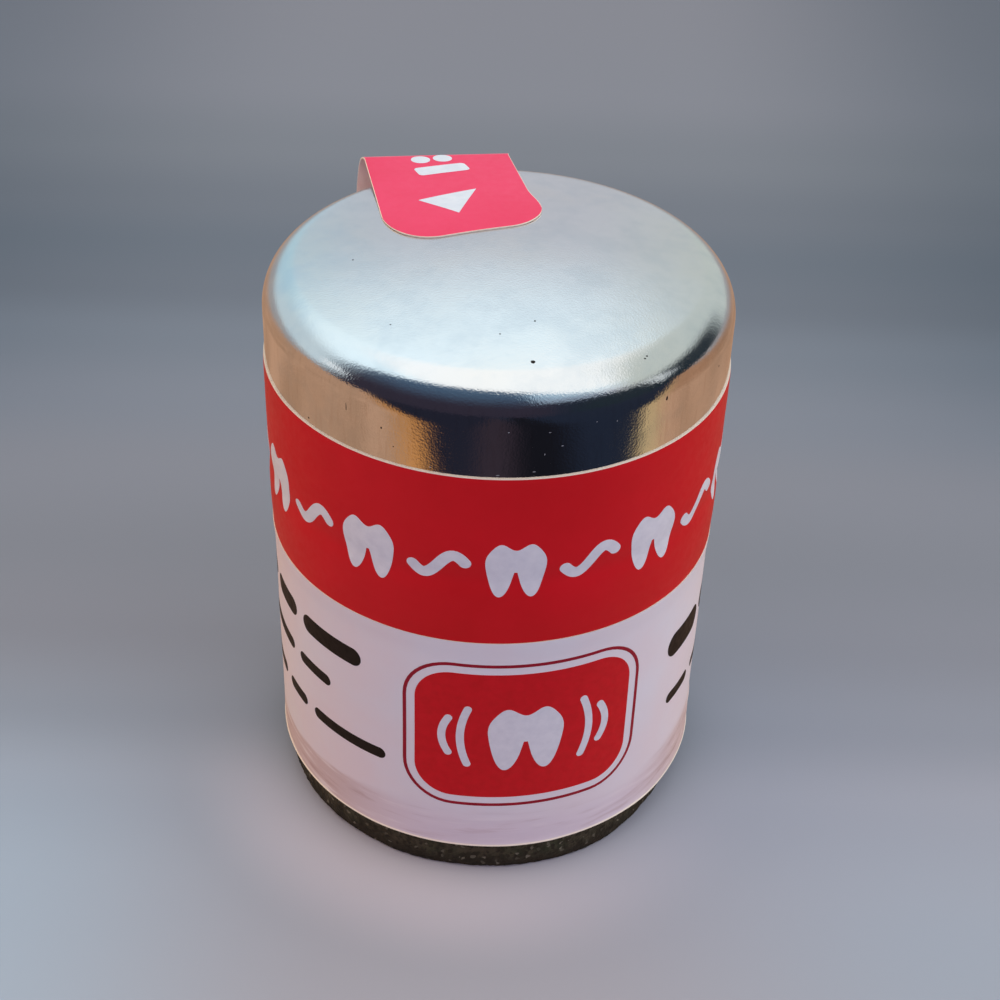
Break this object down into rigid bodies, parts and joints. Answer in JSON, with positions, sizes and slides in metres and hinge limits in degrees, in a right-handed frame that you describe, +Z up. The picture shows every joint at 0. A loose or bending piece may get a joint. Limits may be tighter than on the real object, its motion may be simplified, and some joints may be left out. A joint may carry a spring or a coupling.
{
  "type": "dental floss dispenser",
  "caption": "Round labelled floss vial with a pull-off domed metal cap, a fold-back label tab, a wound bobbin on a spindle and a cutter under the cap.",
  "frame": {"origin": "centre of the flat underside that the dispenser stands on", "axes": "+Z up along the vial's axis, -Y towards the front of the label, +X to the right seen from the front; the tab stands at the back, 11 degrees to the left"},
  "size_m": [0.0284, 0.0298, 0.0384],
  "materials": {
    "vial_plastic": "smooth moulded, slightly glossy",
    "dark_foot": "rough, granular, dark olive grey",
    "white_plastic": "moulded satin",
    "label_white": "satin coated paper, printed",
    "label_red": "satin coated paper, printed red",
    "cap_metal": "bright nickel plate with faint handling haze",
    "small_steel": "bright drawn steel",
    "cutter_steel": "stamped steel with a brushed grain",
    "bobbin_plastic": "moulded natural plastic",
    "floss": "cross-wound unwaxed thread",
    "liner_board": "pressed board"
  },
  "bodies": {
    "vial": {"vial_tube": "vial_plastic", "base_plug": "dark_foot", "spindle": "white_plastic", "body_label": "label_white", "neck_insert": "white_plastic", "floss_eyelet": "small_steel", "cutter_plate": "cutter_steel", "cutter_rivets": "small_steel"},
    "bobbin": {"bobbin_core": "bobbin_plastic", "bobbin_lower_flange": "bobbin_plastic", "bobbin_upper_flange": "bobbin_plastic", "floss_winding": "floss"},
    "cap": {"cap_shell": "cap_metal", "cap_liner": "liner_board", "band_label": "label_red", "tab_riser": "label_red"},
    "tab": {"pull_tab": "label_red"}
  },
  "joints": [
    {"name": "cap_lift", "type": "slide", "parent": "vial", "child": "cap", "axis": [0, 0, 1], "range_m": [0, 0.02]},
    {"name": "tab_fold", "type": "hinge", "parent": "cap", "child": "tab", "pos_m": [-0.00447, 0.01461, 0.03698], "axis": [-0.9816, -0.1908, 0], "range_deg": [0, 150]},
    {"name": "bobbin_spin", "type": "hinge", "parent": "vial", "child": "bobbin", "pos_m": [0, 0, 0.017], "axis": [0, 0, 1], "continuous": true}
  ]
}
